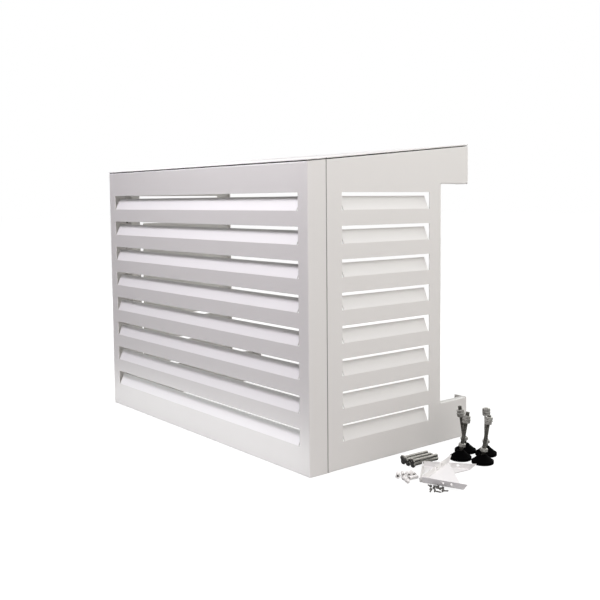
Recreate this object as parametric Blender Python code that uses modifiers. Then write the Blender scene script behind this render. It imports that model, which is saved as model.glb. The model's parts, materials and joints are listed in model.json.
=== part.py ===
# Slatted sheet-metal screen that hides an outdoor air-conditioner unit, with the loose fixing
# kit that stands beside it. Metres, +Z up. X runs along the front, +Y points to the wall, and
# the origin is on the floor, under the middle of the front panel's bottom flange.

import math

import bmesh
import bpy
from mathutils import Matrix, Vector

# Overall sizes of the screen
SCREEN_WIDTH = 0.987
SCREEN_DEPTH = 0.556
FRONT_HEIGHT = 0.733
ROOF_SLOPE = math.radians(5.3)

# Sheet metal
SHEET = 0.002
BEND_RADIUS = 0.003
BEND_STEPS = 3
CORNER_RELIEF = 0.004
FLANGE_MITRE = 0.006
SEAT_GAP = 0.0003
STITCH = 0.00001
OVERRUN = 0.004

# Panel edges
SILL_DEPTH = 0.015
ROOF_FLANGE = 0.025
RETURN_DEPTH = 0.057
SEAM_FLANGE = 0.036
WALL_FLANGE = 0.042
NOTCH_FLANGE = 0.015
EAR_DEPTH = 0.106
LOWER_EAR_TOP = 0.107
UPPER_EAR_DROP = 0.049

# Louvres, the same heights on all three panels
SLOT_PITCH = 0.079
SLOT_HEIGHT = 0.0424
TOP_SLOT_DROP = 0.0705
LOWEST_SLOT_MARGIN = 0.060
FRONT_SLOT_MARGIN = 0.036
SEAM_SLOT_MARGIN = 0.047
NOTCH_SLOT_MARGIN = 0.0445
BLADE_LENGTH = 0.0365
BLADE_ANGLE = math.radians(23.0)
BLADE_RELIEF = 0.005

# Roof sheet on its weld studs
ROOF_SHADOW_GAP = 0.0025
ROOF_REAR_FLANGE = 0.020
REAR_FLANGE_INSET = 0.050
ROOF_STUD_INSET = 0.0145
ROOF_STUD_RADIUS = 0.0025
ROOF_STUD_LENGTH = 0.014
ROOF_COLLAR_RADIUS = 0.0045
FRONT_STUD_SIDE_INSET = 0.120
SIDE_STUD_REAR_INSET = 0.156

# Fasteners of the screen
SEAM_SCREW_RADIUS = 0.003
SEAM_SCREW_LENGTH = 0.014
SEAM_HEAD_FLATS = 0.010
SEAM_HEAD_HEIGHT = 0.004
WELD_NUT_HEIGHT = 0.005
SEAM_SCREW_INSET = 0.020
SEAM_SCREW_RISE = 0.130
SEAM_SCREW_DROP = 0.153
ROOF_NUT_FLATS = 0.008
ROOF_NUT_HEIGHT = 0.004
ROOF_NUT_FLANGE_RADIUS = 0.0055
ROOF_NUT_FLANGE_HEIGHT = 0.001
BORE_CLEARANCE = 0.0003

# Holes in the wall flanges
WALL_HOLE_RADIUS = 0.0055
WALL_HOLE_INSET = 0.022
WALL_HOLE_SPACING = 0.050

# Swivel feet
PAD_RADIUS = 0.027
PAD_HEIGHT = 0.0225
PAD_RIM_HEIGHT = 0.0085
PAD_RIM_ROUND = 0.0015
PAD_NECK_RADIUS = 0.0100
BALL_RADIUS = 0.007
BALL_HEIGHT = 0.0150
SOCKET_MOUTH_RISE = 0.004
NECK_RADIUS = 0.0038
NECK_LENGTH = 0.0105
STUD_RADIUS = 0.005
STUD_LENGTH = 0.1050
STUD_CHAMFER = 0.0008
NUT_FLATS = 0.017
NUT_HEIGHT = 0.008
WASHER_RADIUS = 0.0105
WASHER_HEIGHT = 0.002
TURNED_SEGMENTS = 20
PAD_SEGMENTS = 28
ARC_STEPS = 6

# Gusset brackets
BRACKET_LEG = 0.114
BRACKET_FLANGE = 0.015
BRACKET_HOLE_RADIUS = 0.003
BRACKET_HOLE_FIRST = 0.062
BRACKET_HOLE_SPACING = 0.022

# Wall anchors
ANCHOR_RADIUS = 0.004
ANCHOR_LENGTH = 0.079
ANCHOR_TIP_LENGTH = 0.006
ANCHOR_TIP_RADIUS = 0.0025
ANCHOR_HEAD_FLATS = 0.013
ANCHOR_HEAD_HEIGHT = 0.0055
ANCHOR_SPACING = 0.0084

# Wall plugs and small screws
PLUG_RADIUS = 0.0048
PLUG_COLLAR_RADIUS = 0.006
PLUG_COLLAR_HEIGHT = 0.002
PLUG_LENGTH = 0.028
PLUG_BORE_RADIUS = 0.0027
PLUG_BORE_DEPTH = 0.022
SCREW_RADIUS = 0.0018
SCREW_LENGTH = 0.0155
SCREW_HEAD_RADIUS = 0.0035
SCREW_HEAD_HEIGHT = 0.0025
SMALL_SEGMENTS = 12

# Places that follow from the sizes above
HALF_WIDTH = SCREEN_WIDTH / 2
FRONT_Y = -SILL_DEPTH / 2
REAR_Y = FRONT_Y + SCREEN_DEPTH
SEAM_Y = FRONT_Y + RETURN_DEPTH
NOTCH_Y = REAR_Y - EAR_DEPTH
UPPER_EAR_BOTTOM = FRONT_HEIGHT - UPPER_EAR_DROP
SIDE_SLOT_START = SEAM_Y + SEAM_SLOT_MARGIN
SIDE_SLOT_END = NOTCH_Y - NOTCH_SLOT_MARGIN
SLOT_ROOM = FRONT_HEIGHT - TOP_SLOT_DROP - SLOT_HEIGHT - LOWEST_SLOT_MARGIN
SLOT_COUNT = math.floor(SLOT_ROOM / SLOT_PITCH) + 1
SLOT_TOPS = [FRONT_HEIGHT - TOP_SLOT_DROP - SLOT_PITCH * step for step in range(SLOT_COUNT)]
SLOT_BOTTOMS = [top - SLOT_HEIGHT for top in SLOT_TOPS]
ROOF_ALONG = Vector((0, math.cos(ROOF_SLOPE), math.sin(ROOF_SLOPE)))
ROOF_NORMAL = Vector((0, -math.sin(ROOF_SLOPE), math.cos(ROOF_SLOPE)))
ROOF_EDGE = Vector((0, FRONT_Y, FRONT_HEIGHT))
X_AXIS = Vector((1, 0, 0))
Y_AXIS = Vector((0, 1, 0))
Z_AXIS = Vector((0, 0, 1))

# Where the loose pieces lie, measured from the outer face of the right side panel and from the
# front. A foot has its centre, its lean towards the azimuth, its jam nut's rise from the ball's
# centre and its clamp nut's drop from the stud's end.
LEAN_AZIMUTH = math.radians(51.1)
FEET = (
    ("foot_1", (0.1292, 0.3718), math.radians(9.6), 0.0170, 0.0275),
    ("foot_2", (0.0971, 0.4279), math.radians(-8.2), 0.0160, 0.0275),
    ("foot_3", (0.1853, 0.3877), math.radians(8.5), 0.0145, 0.0225),
    ("foot_4", (0.1482, 0.4466), math.radians(0.0), 0.0160, 0.0190),
)
LOWER_BRACKET_PLACE = (0.1125, 0.2526)
LOWER_BRACKET_TURN = math.radians(39.4)
UPPER_BRACKET_PLACE = (0.1875, 0.1670, -0.0005)
UPPER_BRACKET_TURN = math.radians(7.8)
UPPER_BRACKET_ROLL = math.radians(10.2)
UPPER_BRACKET_PITCH = math.radians(-4.7)
ANCHOR_PLACE = (0.0650, 0.2330)
ANCHOR_TURN = math.radians(-3.0)
PLUG_PLACES = (
    ((0.134, 0.146), math.radians(132)),
    ((0.139, 0.1595), math.radians(139)),
    ((0.1465, 0.1705), math.radians(145)),
    ((0.1515, 0.182), math.radians(150)),
    ((0.150, 0.1495), math.radians(-24)),
    ((0.160, 0.156), math.radians(85)),
)
SCREW_PLACES = (
    ((0.2381, 0.1448), math.radians(-55)),
    ((0.2270, 0.1575), math.radians(160)),
    ((0.2356, 0.1561), math.radians(-34)),
    ((0.2617, 0.1531), math.radians(66)),
    ((0.2522, 0.1616), math.radians(178)),
    ((0.2398, 0.1693), math.radians(186)),
    ((0.2503, 0.1404), math.radians(31)),
    ((0.2478, 0.1716), math.radians(-37)),
)


# Scene, collections and materials

def clear_scene():
    for item in list(bpy.data.objects):
        bpy.data.objects.remove(item, do_unlink=True)


def new_collection(name):
    group = bpy.data.collections.new(name)
    bpy.context.scene.collection.children.link(group)
    return group


def new_material(name, colour, roughness, metallic):
    material = bpy.data.materials.new(name)
    material.use_nodes = True
    shader = material.node_tree.nodes["Principled BSDF"]
    shader.inputs["Base Color"].default_value = (*colour, 1)
    shader.inputs["Roughness"].default_value = roughness
    shader.inputs["Metallic"].default_value = metallic
    return material


# Meshes and objects

def mesh_from(bm, name):
    mesh = bpy.data.meshes.new(name)
    bm.to_mesh(mesh)
    bm.free()
    return mesh


def place(name, mesh, material, matrix=None, parent=None):
    item = bpy.data.objects.new(name, mesh)
    mesh.materials.clear()
    mesh.materials.append(material)
    PARTS.objects.link(item)
    item.parent = parent
    item.matrix_local = matrix or Matrix.Identity(4)
    return item


def place_copies(stem, mesh, matrices, material):
    for number, matrix in enumerate(matrices, 1):
        place(f"{stem}_{number}", mesh.copy(), material, matrix)


def guide(name, mesh, matrix=None):
    item = bpy.data.objects.new(name, mesh)
    CUTTERS.objects.link(item)
    item.matrix_world = matrix or Matrix.Identity(4)
    item.hide_render = True
    item.display_type = "WIRE"
    return item


def evaluated_mesh(item, name):
    depsgraph = bpy.context.evaluated_depsgraph_get()
    mesh = bpy.data.meshes.new_from_object(item.evaluated_get(depsgraph))
    mesh.name = name
    return mesh


def boolean(item, tool, operation):
    modifier = item.modifiers.new(operation.title(), "BOOLEAN")
    modifier.operation = operation
    modifier.object = tool
    modifier.solver = "EXACT"


def boolean_mesh(mesh, tool_mesh, operation, name):
    item = guide(name, mesh)
    tool = guide(name + "_tool", tool_mesh)
    boolean(item, tool, operation)
    result = evaluated_mesh(item, name)
    bpy.data.objects.remove(item)
    bpy.data.objects.remove(tool)
    return result


def join_copies(mesh, matrices, name):
    bm = bmesh.new()
    for matrix in matrices:
        known = len(bm.verts)
        bm.from_mesh(mesh)
        bm.verts.ensure_lookup_table()
        bmesh.ops.transform(bm, matrix=matrix, verts=bm.verts[known:])
    return mesh_from(bm, name)


def cylinder(radius, bottom, top, segments, name="cylinder"):
    bm = bmesh.new()
    bmesh.ops.create_cone(bm, cap_ends=True, segments=segments, radius1=radius, radius2=radius,
                          depth=top - bottom)
    bmesh.ops.translate(bm, verts=bm.verts, vec=(0, 0, (top + bottom) / 2))
    return mesh_from(bm, name)


def hexagon(flats, bottom, top, name="hexagon"):
    return cylinder(flats / 2 / math.cos(math.pi / 6), bottom, top, 6, name)


def turned(profile, segments, name):
    # The profile runs down the outer side of the piece, as (radius, height) pairs.
    bm = bmesh.new()
    points = [bm.verts.new((radius, 0, height)) for radius, height in profile]
    for start, end in zip(points, points[1:]):
        bm.edges.new((start, end))
    item = guide(name, mesh_from(bm, name))
    screw = item.modifiers.new("Screw", "SCREW")
    screw.steps = screw.render_steps = segments
    screw.use_merge_vertices = True
    screw.merge_threshold = STITCH
    mesh = evaluated_mesh(item, name)
    bpy.data.objects.remove(item)
    return mesh


def smooth(mesh, angle=math.radians(35)):
    mesh.shade_smooth()
    mesh.set_sharp_from_angle(angle=angle)
    return mesh


# Folded sheet: an open outer surface whose free edges are bent and drawn out

def flat_blank(origin, along, up, lines_along, lines_up):
    # A rectangle in the plane of the two directions, split along the given lines.
    bm = bmesh.new()
    bmesh.ops.create_grid(bm, x_segments=1, y_segments=1, size=1)
    half_across = (max(lines_along) - min(lines_along)) / 2
    half_rise = (max(lines_up) - min(lines_up)) / 2
    centre = (origin + along * (min(lines_along) + half_across)
              + up * (min(lines_up) + half_rise))
    frame = Matrix((along * half_across, up * half_rise, along.cross(up))).transposed().to_4x4()
    bmesh.ops.transform(bm, matrix=Matrix.Translation(centre) @ frame, verts=bm.verts)
    for place_along in lines_along:
        split(bm, origin + along * place_along, along)
    for place_up in lines_up:
        split(bm, origin + up * place_up, up)
    return bm


def split(bm, point, normal, drop_beyond=False):
    bmesh.ops.bisect_plane(bm, geom=bm.verts[:] + bm.edges[:] + bm.faces[:], dist=STITCH,
                           plane_co=point, plane_no=normal, clear_outer=drop_beyond)


def drop_faces(bm, unwanted):
    faces = [face for face in bm.faces if unwanted(face.calc_center_median())]
    bmesh.ops.delete(bm, geom=faces, context="FACES")


def free_edges(bm, wanted):
    return [edge for edge in bm.edges
            if edge.is_boundary and all(wanted(vertex.co) for vertex in edge.verts)]


def near(value, target):
    return abs(value - target) < STITCH * 5


def bend(bm, edges, centre, axis, angle, steps=BEND_STEPS):
    verts = list({vertex for edge in edges for vertex in edge.verts})
    swept = bmesh.ops.spin(bm, geom=verts + edges, cent=centre, axis=axis, angle=angle,
                           steps=steps, use_duplicate=False)
    return [item for item in swept["geom_last"] if isinstance(item, bmesh.types.BMEdge)]


def draw_out(bm, edges, vector):
    drawn = bmesh.ops.extrude_edge_only(bm, edges=edges)
    verts = [item for item in drawn["geom"] if isinstance(item, bmesh.types.BMVert)]
    bmesh.ops.translate(bm, verts=verts, vec=vector)
    return [item for item in drawn["geom"] if isinstance(item, bmesh.types.BMEdge)
            and all(vertex in verts for vertex in item.verts)]


def mitre(edges, direction, low_trim, high_trim):
    verts = {vertex for edge in edges for vertex in edge.verts}
    reach = [vertex.co.dot(direction) for vertex in verts]
    low, high = min(reach), max(reach)
    for vertex in verts:
        if near(vertex.co.dot(direction), low):
            vertex.co += direction * low_trim
        elif near(vertex.co.dot(direction), high):
            vertex.co -= direction * high_trim


def folded_sheet(bm, name, outward, facing, material):
    # Thickens the surface inwards; the face found by facing looks along outward.
    bmesh.ops.recalc_face_normals(bm, faces=bm.faces)
    witness = next(face for face in bm.faces if facing(face.calc_center_median()))
    if witness.normal.dot(outward) < 0:
        bmesh.ops.reverse_faces(bm, faces=bm.faces)
    item = place(name, mesh_from(bm, name), material)
    solid = item.modifiers.new("Solidify", "SOLIDIFY")
    solid.thickness = SHEET
    solid.offset = -1
    solid.use_even_offset = True
    return item


def in_slot(height):
    return any(bottom < height < top for bottom, top in zip(SLOT_BOTTOMS, SLOT_TOPS))


# Front panel

def front_panel(material):
    bend_start = HALF_WIDTH - BEND_RADIUS
    flange_end = HALF_WIDTH - CORNER_RELIEF
    slot_end = HALF_WIDTH - FRONT_SLOT_MARGIN
    blade_end = slot_end - BLADE_RELIEF
    roof_bend = math.pi / 2 - ROOF_SLOPE
    top_line = FRONT_HEIGHT - BEND_RADIUS * math.tan(roof_bend / 2)
    columns = [side * line for side in (-1, 1)
               for line in (bend_start, flange_end, slot_end, blade_end)]
    rows = [0, BEND_RADIUS, top_line, FRONT_HEIGHT] + SLOT_TOPS + SLOT_BOTTOMS
    bm = flat_blank(Vector((0, FRONT_Y, 0)), X_AXIS, Z_AXIS, columns, rows)
    drop_faces(bm, lambda at: abs(at.x) < slot_end and in_slot(at.z))
    drop_faces(bm, lambda at: abs(at.x) < flange_end and not BEND_RADIUS < at.z < top_line)
    for side in (-1, 1):
        front_return(bm, side)
    for vertex in bm.verts:
        if near(vertex.co.z, FRONT_HEIGHT):
            vertex.co.z += (vertex.co.y - FRONT_Y) * math.tan(ROOF_SLOPE)
    hinge_y = FRONT_Y + BEND_RADIUS
    sill = free_edges(bm, lambda at: near(at.z, BEND_RADIUS) and near(at.y, FRONT_Y)
                      and abs(at.x) < flange_end + STITCH)
    sill = bend(bm, sill, (0, hinge_y, BEND_RADIUS), X_AXIS, math.pi / 2)
    draw_out(bm, sill, Y_AXIS * (SILL_DEPTH - BEND_RADIUS))
    head = free_edges(bm, lambda at: near(at.z, top_line) and near(at.y, FRONT_Y)
                      and abs(at.x) < flange_end + STITCH)
    head = bend(bm, head, (0, hinge_y, top_line), X_AXIS, -roof_bend)
    draw_out(bm, head, ROOF_ALONG * (ROOF_FLANGE - BEND_RADIUS))
    lean = Vector((0, math.sin(BLADE_ANGLE), math.cos(BLADE_ANGLE)))
    for bottom in SLOT_BOTTOMS:
        root = free_edges(bm, lambda at: near(at.z, bottom) and near(at.y, FRONT_Y)
                          and abs(at.x) < blade_end + STITCH)
        root = bend(bm, root, (0, hinge_y, bottom), X_AXIS, -BLADE_ANGLE, 2)
        draw_out(bm, root, lean * (BLADE_LENGTH - BEND_RADIUS * BLADE_ANGLE))
    return folded_sheet(bm, "front_panel", -Y_AXIS, lambda at: near(at.y, FRONT_Y), material)


def front_return(bm, side):
    turn = side * math.pi / 2
    edge_x = side * (HALF_WIDTH - BEND_RADIUS)
    end_y = SEAM_Y - SEAT_GAP / 2
    edges = free_edges(bm, lambda at: near(at.x, edge_x))
    edges = bend(bm, edges, (edge_x, FRONT_Y + BEND_RADIUS, 0), Z_AXIS, turn)
    edges = draw_out(bm, edges, Y_AXIS * (end_y - FRONT_Y - BEND_RADIUS * 2))
    edges = bend(bm, edges, (edge_x, end_y - BEND_RADIUS, 0), Z_AXIS, turn)
    draw_out(bm, edges, X_AXIS * -side * (SEAM_FLANGE - BEND_RADIUS))


# Side panels

def roof_height(y):
    return FRONT_HEIGHT + (y - FRONT_Y) * math.tan(ROOF_SLOPE)


def side_blank(side):
    start_y = SEAM_Y + SEAT_GAP / 2 + BEND_RADIUS
    end_y = REAR_Y - BEND_RADIUS
    tab_start = end_y - CORNER_RELIEF / 2
    edge_y = NOTCH_Y - BEND_RADIUS
    columns = [start_y, start_y + CORNER_RELIEF, SIDE_SLOT_START, SIDE_SLOT_START + BLADE_RELIEF,
               SIDE_SLOT_END - BLADE_RELIEF, SIDE_SLOT_END, edge_y, edge_y + CORNER_RELIEF,
               end_y - CORNER_RELIEF, tab_start, end_y]
    lower_ear = LOWER_EAR_TOP - BEND_RADIUS
    upper_ear = UPPER_EAR_BOTTOM + BEND_RADIUS
    rows = [0, BEND_RADIUS, BEND_RADIUS + CORNER_RELIEF, lower_ear, LOWER_EAR_TOP,
            lower_ear + CORNER_RELIEF, upper_ear - CORNER_RELIEF, UPPER_EAR_BOTTOM, upper_ear,
            roof_height(REAR_Y)] + SLOT_TOPS + SLOT_BOTTOMS
    bm = flat_blank(Vector((side * HALF_WIDTH, 0, 0)), Y_AXIS, Z_AXIS, columns, rows)
    split(bm, ROOF_EDGE, ROOF_NORMAL, drop_beyond=True)
    split(bm, ROOF_EDGE - ROOF_NORMAL * BEND_RADIUS, ROOF_NORMAL)
    split(bm, ROOF_EDGE - ROOF_NORMAL * (BEND_RADIUS + CORNER_RELIEF), ROOF_NORMAL)
    drop_faces(bm, lambda at: SIDE_SLOT_START < at.y < SIDE_SLOT_END and in_slot(at.z))
    drop_faces(bm, lambda at: edge_y < at.y < tab_start and lower_ear < at.z < upper_ear)
    drop_faces(bm, lambda at: at.y > tab_start and LOWER_EAR_TOP < at.z < UPPER_EAR_BOTTOM)
    flanged = (start_y + CORNER_RELIEF, end_y - CORNER_RELIEF)
    drop_faces(bm, lambda at: flanged[0] < at.y < flanged[1] and at.z < BEND_RADIUS)
    drop_faces(bm, lambda at: flanged[0] < at.y < flanged[1]
               and (at - ROOF_EDGE).dot(ROOF_NORMAL) > -BEND_RADIUS)
    return bm


def side_panel(name, side, material):
    bm = side_blank(side)
    inward = X_AXIS * -side
    quarter = side * math.pi / 2
    hinge_x = side * (HALF_WIDTH - BEND_RADIUS)
    start_y = SEAM_Y + SEAT_GAP / 2 + BEND_RADIUS
    end_y = REAR_Y - BEND_RADIUS
    flanged = (start_y + CORNER_RELIEF - STITCH, end_y - CORNER_RELIEF + STITCH)
    top_hinge = ROOF_EDGE - ROOF_NORMAL * BEND_RADIUS
    side_louvres(bm, side)
    head = free_edges(bm, lambda at: near((at - top_hinge).dot(ROOF_NORMAL), 0)
                      and flanged[0] < at.y < flanged[1])
    head = bend(bm, head, top_hinge + X_AXIS * hinge_x, ROOF_ALONG, -quarter)
    draw_out(bm, head, inward * (ROOF_FLANGE - BEND_RADIUS))
    sill = free_edges(bm, lambda at: near(at.z, BEND_RADIUS) and flanged[0] < at.y < flanged[1])
    sill = bend(bm, sill, (hinge_x, 0, BEND_RADIUS), Y_AXIS, quarter)
    sill = draw_out(bm, sill, inward * (SILL_DEPTH - BEND_RADIUS))
    mitre(sill, Y_AXIS, 0, FLANGE_MITRE)
    seam = free_edges(bm, lambda at: near(at.y, start_y) and near(at.x, side * HALF_WIDTH))
    seam = bend(bm, seam, (hinge_x, start_y, 0), Z_AXIS, -quarter)
    draw_out(bm, seam, inward * (SEAM_FLANGE - BEND_RADIUS))
    wall_flanges(bm, side)
    notch_flanges(bm, side)
    return folded_sheet(bm, name, X_AXIS * side, lambda at: near(at.x, side * HALF_WIDTH),
                        material)


def side_louvres(bm, side):
    blade_start = SIDE_SLOT_START + BLADE_RELIEF - STITCH
    blade_end = SIDE_SLOT_END - BLADE_RELIEF + STITCH
    lean = Vector((-side * math.sin(BLADE_ANGLE), 0, math.cos(BLADE_ANGLE)))
    for bottom in SLOT_BOTTOMS:
        root = free_edges(bm, lambda at: near(at.z, bottom) and blade_start < at.y < blade_end)
        root = bend(bm, root, (side * (HALF_WIDTH - BEND_RADIUS), 0, bottom), Y_AXIS,
                    -side * BLADE_ANGLE, 2)
        draw_out(bm, root, lean * (BLADE_LENGTH - BEND_RADIUS * BLADE_ANGLE))


def wall_flanges(bm, side):
    # The two ears end in flanges that lie against the wall, each mitred at its outer end.
    end_y = REAR_Y - BEND_RADIUS
    low = BEND_RADIUS + CORNER_RELIEF
    high = roof_height(end_y) - (BEND_RADIUS + CORNER_RELIEF) / math.cos(ROOF_SLOPE)
    for bottom, top, low_mitre, high_mitre in ((low, LOWER_EAR_TOP, FLANGE_MITRE, 0),
                                               (UPPER_EAR_BOTTOM, high, 0, FLANGE_MITRE)):
        edges = free_edges(bm, lambda at: near(at.y, end_y)
                           and bottom - STITCH * 5 < at.z < top + STITCH * 5)
        edges = bend(bm, edges, (side * (HALF_WIDTH - BEND_RADIUS), end_y, 0), Z_AXIS,
                     side * math.pi / 2)
        edges = draw_out(bm, edges, X_AXIS * -side * (WALL_FLANGE - BEND_RADIUS))
        mitre(edges, Z_AXIS, low_mitre, high_mitre)


def notch_flanges(bm, side):
    # Stiffening flanges round the notch that the pipes and the wall bracket pass through.
    hinge_x = side * (HALF_WIDTH - BEND_RADIUS)
    inward = X_AXIS * -side * (NOTCH_FLANGE - BEND_RADIUS)
    quarter = side * math.pi / 2
    edge_y = NOTCH_Y - BEND_RADIUS
    lower_ear = LOWER_EAR_TOP - BEND_RADIUS
    upper_ear = UPPER_EAR_BOTTOM + BEND_RADIUS
    ear_start = edge_y + CORNER_RELIEF - STITCH
    ear_end = REAR_Y - BEND_RADIUS - CORNER_RELIEF + STITCH
    ledge = free_edges(bm, lambda at: near(at.z, lower_ear) and ear_start < at.y < ear_end)
    ledge = bend(bm, ledge, (hinge_x, 0, lower_ear), Y_AXIS, -quarter)
    draw_out(bm, ledge, inward)
    lintel = free_edges(bm, lambda at: near(at.z, upper_ear) and ear_start < at.y < ear_end)
    lintel = bend(bm, lintel, (hinge_x, 0, upper_ear), Y_AXIS, quarter)
    draw_out(bm, lintel, inward)
    jamb = free_edges(bm, lambda at: near(at.y, edge_y)
                      and lower_ear + CORNER_RELIEF - STITCH < at.z
                      and at.z < upper_ear - CORNER_RELIEF + STITCH)
    jamb = bend(bm, jamb, (hinge_x, edge_y, 0), Z_AXIS, quarter)
    draw_out(bm, jamb, inward)


# Holes in the panels' flanges

def roof_frame():
    # Local frame of the roof plane: X along the front, Y up the slope, Z away from the panels.
    return Matrix.Translation(ROOF_EDGE) @ Matrix.Rotation(ROOF_SLOPE, 4, "X")


def roof_stud_frames():
    places = []
    for side in (-1, 1):
        places.append((side * (HALF_WIDTH - FRONT_STUD_SIDE_INSET), ROOF_STUD_INSET, 0))
        places.append((side * (HALF_WIDTH - ROOF_STUD_INSET),
                       SCREEN_DEPTH - SIDE_STUD_REAR_INSET, 0))
    return [roof_frame() @ Matrix.Translation(at) for at in places]


def roof_stud_holes():
    hole = cylinder(ROOF_STUD_RADIUS + BORE_CLEARANCE, -OVERRUN * 2, OVERRUN, SMALL_SEGMENTS)
    return join_copies(hole, roof_stud_frames(), "roof_stud_holes")


def seam_screw_frames():
    # Z of each frame points forwards, from the side panel's flange to the front panel's.
    frames = []
    for side in (-1, 1):
        for height in (SEAM_SCREW_RISE, FRONT_HEIGHT - SEAM_SCREW_DROP):
            at = Vector((side * (HALF_WIDTH - SEAM_SCREW_INSET), SEAM_Y, height))
            frames.append(Matrix.Translation(at) @ Matrix.Rotation(math.pi / 2, 4, "X"))
    return frames


def seam_screw_holes():
    hole = cylinder(SEAM_SCREW_RADIUS + BORE_CLEARANCE, -OVERRUN, OVERRUN * 3, SMALL_SEGMENTS)
    return join_copies(hole, seam_screw_frames(), "seam_screw_holes")


def wall_hole_places():
    lower = LOWER_EAR_TOP / 2
    upper = (UPPER_EAR_BOTTOM + roof_height(REAR_Y)) / 2
    return [(side * (HALF_WIDTH - WALL_HOLE_INSET), middle + step * WALL_HOLE_SPACING / 2)
            for side in (-1, 1) for middle in (lower, upper) for step in (-1, 1)]


def wall_holes():
    hole = cylinder(WALL_HOLE_RADIUS, -OVERRUN, OVERRUN, TURNED_SEGMENTS)
    turn = Matrix.Rotation(math.pi / 2, 4, "X")
    matrices = [Matrix.Translation((x, REAR_Y, z)) @ turn for x, z in wall_hole_places()]
    return join_copies(hole, matrices, "wall_holes")


def drill_panels(front, sides):
    studs = guide("roof_stud_holes", roof_stud_holes())
    seams = guide("seam_screw_holes", seam_screw_holes())
    walls = guide("wall_holes", wall_holes())
    weld_nut = hexagon(SEAM_HEAD_FLATS, SHEET / 2, SHEET + WELD_NUT_HEIGHT)
    weld_nuts = join_copies(weld_nut, seam_screw_frames(), "weld_nuts")
    boolean(front, guide("weld_nuts", weld_nuts), "UNION")
    for panel in [front] + sides:
        boolean(panel, studs, "DIFFERENCE")
        boolean(panel, seams, "DIFFERENCE")
    for panel in sides:
        boolean(panel, walls, "DIFFERENCE")


# Roof and the fasteners that hold the screen together

def roof_panel(material):
    lift = ROOF_SHADOW_GAP + SHEET
    length = SCREEN_DEPTH / math.cos(ROOF_SLOPE) - lift * math.tan(ROOF_SLOPE)
    inset = HALF_WIDTH - REAR_FLANGE_INSET
    lines = [-HALF_WIDTH, -inset, inset, HALF_WIDTH]
    bm = flat_blank(Vector((0, 0, 0)), X_AXIS, Y_AXIS, lines, [0, length - BEND_RADIUS, length])
    drop_faces(bm, lambda at: abs(at.x) < inset and at.y > length - BEND_RADIUS)
    rear = free_edges(bm, lambda at: near(at.y, length - BEND_RADIUS))
    rear = bend(bm, rear, (0, length - BEND_RADIUS, -BEND_RADIUS), X_AXIS, -math.pi / 2)
    draw_out(bm, rear, Z_AXIS * -(ROOF_REAR_FLANGE - BEND_RADIUS))
    item = folded_sheet(bm, "roof_panel", Z_AXIS, lambda at: near(at.z, 0), material)
    item.matrix_world = roof_frame() @ Matrix.Translation((0, 0, lift))
    collar = cylinder(ROOF_COLLAR_RADIUS, SEAT_GAP, ROOF_SHADOW_GAP + SHEET / 2, SMALL_SEGMENTS)
    shank = cylinder(ROOF_STUD_RADIUS, -ROOF_STUD_LENGTH, ROOF_SHADOW_GAP, SMALL_SEGMENTS)
    stud = boolean_mesh(collar, shank, "UNION", "roof_stud")
    studs = guide("roof_studs", join_copies(stud, roof_stud_frames(), "roof_studs"))
    boolean(item, studs, "UNION")
    return item


def roof_nuts(material):
    top = -SHEET - SEAT_GAP
    flange = cylinder(ROOF_NUT_FLANGE_RADIUS, top - ROOF_NUT_FLANGE_HEIGHT, top, SMALL_SEGMENTS)
    body = hexagon(ROOF_NUT_FLATS, top - ROOF_NUT_HEIGHT, top - ROOF_NUT_FLANGE_HEIGHT / 2)
    nut = boolean_mesh(flange, body, "UNION", "roof_nut")
    bore = cylinder(ROOF_STUD_RADIUS + BORE_CLEARANCE, top - OVERRUN * 2, top + OVERRUN,
                    SMALL_SEGMENTS)
    nut = boolean_mesh(nut, bore, "DIFFERENCE", "roof_nut")
    place_copies("roof_nut", nut, roof_stud_frames(), material)


def seam_screws(material):
    stack = SHEET + SEAT_GAP * 1.5
    head = hexagon(SEAM_HEAD_FLATS, -stack - SEAM_HEAD_HEIGHT, -stack)
    shank = cylinder(SEAM_SCREW_RADIUS, -stack - SEAM_HEAD_HEIGHT / 2,
                     -stack + SEAM_SCREW_LENGTH, SMALL_SEGMENTS)
    screw = boolean_mesh(head, shank, "UNION", "seam_screw")
    place_copies("seam_screw", screw, seam_screw_frames(), material)


# Swivel feet

def beside_screen(reach, y, height=0):
    return Matrix.Translation((HALF_WIDTH + reach, y, height))


def arc(radius, centre_height, start, end, steps=ARC_STEPS):
    # Points of a circle on the axis, from one polar angle to another (0 is straight up).
    angles = [start + (end - start) * step / steps for step in range(steps + 1)]
    return [(radius * math.sin(angle), centre_height + radius * math.cos(angle))
            for angle in angles]


def pad_mesh():
    socket = BALL_RADIUS + SEAT_GAP
    mouth_angle = math.acos(SOCKET_MOUTH_RISE / socket)
    mouth = socket * math.sin(mouth_angle)
    inner = arc(socket, BALL_HEIGHT, math.pi, mouth_angle)
    inner[0] = (0, BALL_HEIGHT - socket)
    rim = [(PAD_RADIUS - PAD_RIM_ROUND, PAD_RIM_HEIGHT), (PAD_RADIUS, PAD_RIM_HEIGHT
           - PAD_RIM_ROUND), (PAD_RADIUS, PAD_RIM_ROUND), (PAD_RADIUS - PAD_RIM_ROUND, 0)]
    outer = [(mouth + SEAT_GAP * 2, PAD_HEIGHT), (PAD_NECK_RADIUS, PAD_HEIGHT)] + rim + [(0, 0)]
    return smooth(turned(inner + outer, PAD_SEGMENTS, "pad"))


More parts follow.
